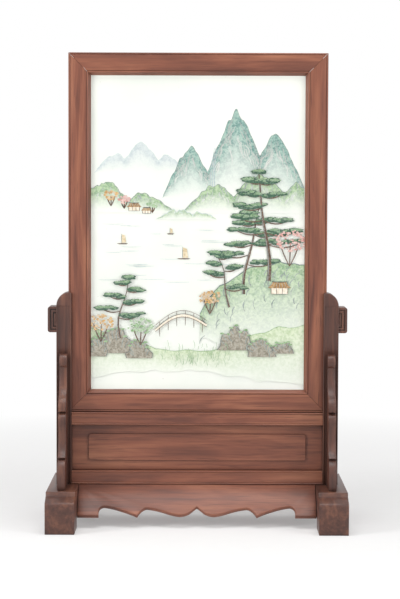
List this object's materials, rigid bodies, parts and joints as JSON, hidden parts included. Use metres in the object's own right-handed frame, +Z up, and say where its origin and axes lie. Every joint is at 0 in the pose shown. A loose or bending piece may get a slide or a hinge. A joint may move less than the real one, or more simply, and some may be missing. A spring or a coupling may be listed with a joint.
{
  "type": "porcelain plaque",
  "caption": "Table screen: a painted porcelain plaque in a mitred wooden frame that drops into a footed wooden stand.",
  "frame": {"origin": "on the table, under the middle of the screen", "axes": "+X to the right seen from the front, +Y to the back, +Z up"},
  "size_m": [0.3616, 0.184, 0.5688],
  "materials": {
    "rosewood": "waxed",
    "darkwood": "waxed",
    "plainwood": "planed",
    "porcelain": "glazed"
  },
  "bodies": {
    "stand": {"right_foot": "darkwood", "left_foot": "darkwood", "right_post": "darkwood", "left_post": "darkwood", "right_ear": "darkwood", "left_ear": "darkwood", "right_front_spandrel": "darkwood", "left_front_spandrel": "darkwood", "right_rear_spandrel": "darkwood", "left_rear_spandrel": "darkwood", "stand_low_rail": "rosewood", "stand_top_rail": "rosewood", "stand_panel": "rosewood", "front_apron": "rosewood", "rear_apron": "rosewood"},
    "screen": {"frame_top_rail": "rosewood", "frame_bottom_rail": "rosewood", "frame_left_stile": "rosewood", "frame_right_stile": "rosewood", "porcelain_plaque": "porcelain", "back_board": "plainwood", "bottom_strip": "plainwood", "top_strip": "plainwood", "right_strip": "plainwood", "left_strip": "plainwood"}
  },
  "joints": [
    {"name": "screen_lift", "type": "slide", "parent": "stand", "child": "screen", "axis": [0, 0, 1], "range_m": [0, 0.15]}
  ]
}
